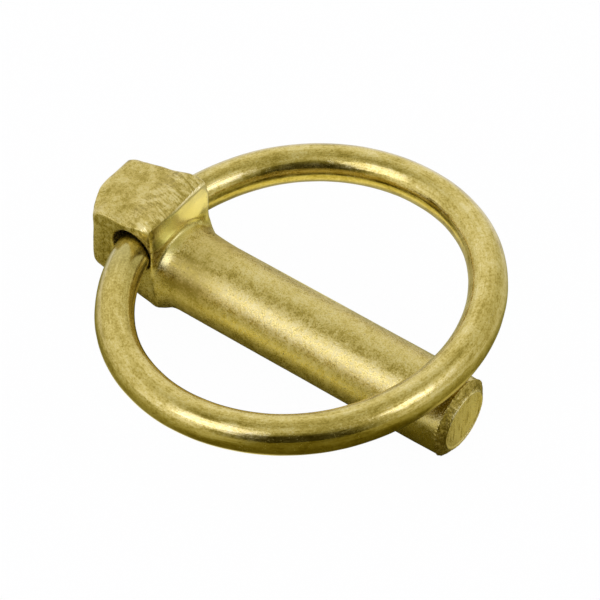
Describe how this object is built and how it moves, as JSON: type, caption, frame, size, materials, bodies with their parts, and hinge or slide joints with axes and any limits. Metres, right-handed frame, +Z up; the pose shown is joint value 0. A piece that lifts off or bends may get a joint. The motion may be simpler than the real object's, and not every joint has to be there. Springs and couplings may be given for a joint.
{
  "type": "linch pin",
  "caption": "Linch pin: a round shank with a forged square eye and an oval sprung wire ring that swings in it and snaps down over the shank.",
  "frame": {"origin": "on the shank's axis, where its straight round grip begins at the end of the collar fillet", "axes": "+X along the shank's axis towards the tip, +Y across it along the eye's bore, +Z up on the side where the closed ring lies; the pin lies on a flat surface, with its shank along it and the ring on top"},
  "size_m": [0.0528, 0.0514, 0.015],
  "materials": {
    "pin_metal": "satin yellow-passivated zinc plating, with stains and small pits",
    "ring_wire": "smoother yellow-passivated zinc plating with a low gloss"
  },
  "bodies": {
    "pin": {"pin": "pin_metal"},
    "ring": {"ring": "ring_wire"}
  },
  "joints": [
    {"name": "ring_swing", "type": "hinge", "parent": "pin", "child": "ring", "pos_m": [-0.00615, 0, 0.0042], "axis": [0, -1, 0], "range_deg": [0, 339.5]}
  ]
}
